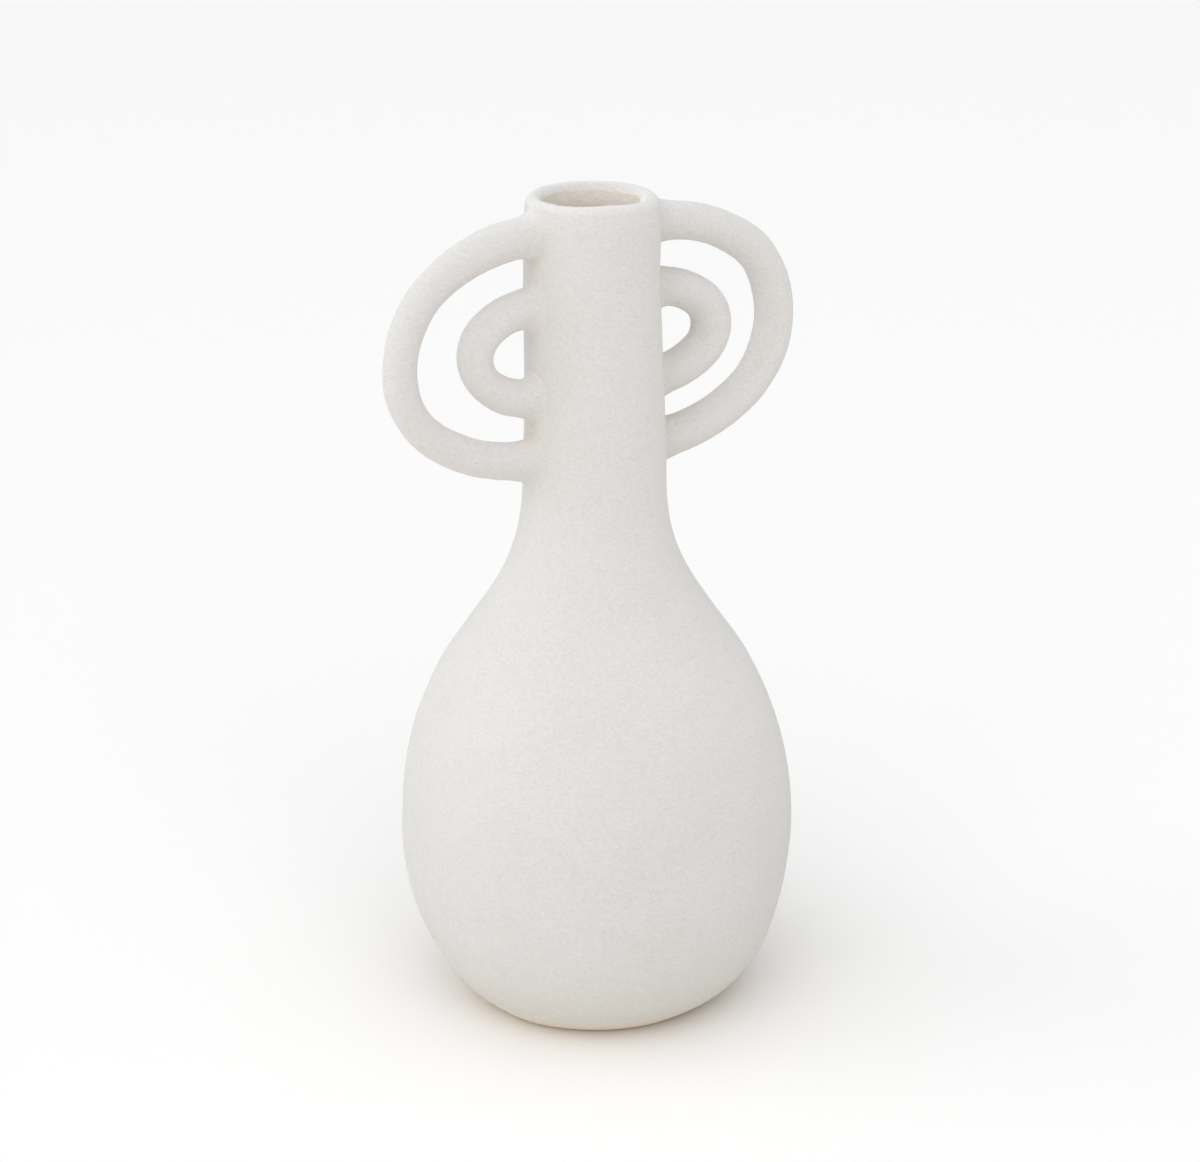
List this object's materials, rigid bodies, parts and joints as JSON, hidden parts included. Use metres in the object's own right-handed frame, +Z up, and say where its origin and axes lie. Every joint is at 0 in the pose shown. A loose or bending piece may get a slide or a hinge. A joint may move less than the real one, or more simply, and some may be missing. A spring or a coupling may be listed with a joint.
{
  "type": "bud vase",
  "caption": "Ceramic bud vase with a pear-shaped belly, a tall narrow neck and nested loop handles on both sides.",
  "frame": {"origin": "centre of the foot, on the surface the vase stands on", "axes": "+Z up along the neck, X across the two pairs of handles, Y through the thin side"},
  "size_m": [0.1224, 0.1054, 0.22],
  "materials": {
    "bare_clay": "dry matt off-white slip with a fine sandy grain",
    "clear_glaze": "satin, warm cream"
  },
  "bodies": {
    "root": {"base_slab": "bare_clay", "lower_belly": "bare_clay", "upper_belly": "bare_clay", "neck": "bare_clay", "lip": "bare_clay", "outer_handle_left": "bare_clay", "inner_handle_left": "bare_clay", "outer_handle_right": "bare_clay", "inner_handle_right": "bare_clay", "root_fillet_outer_left_top": "bare_clay", "root_fillet_inner_left_top": "bare_clay", "root_fillet_inner_left_bottom": "bare_clay", "root_fillet_outer_left_bottom": "bare_clay", "root_fillet_outer_right_top": "bare_clay", "root_fillet_inner_right_top": "bare_clay", "root_fillet_inner_right_bottom": "bare_clay", "root_fillet_outer_right_bottom": "bare_clay", "inside_glaze": "clear_glaze"}
  },
  "joints": []
}
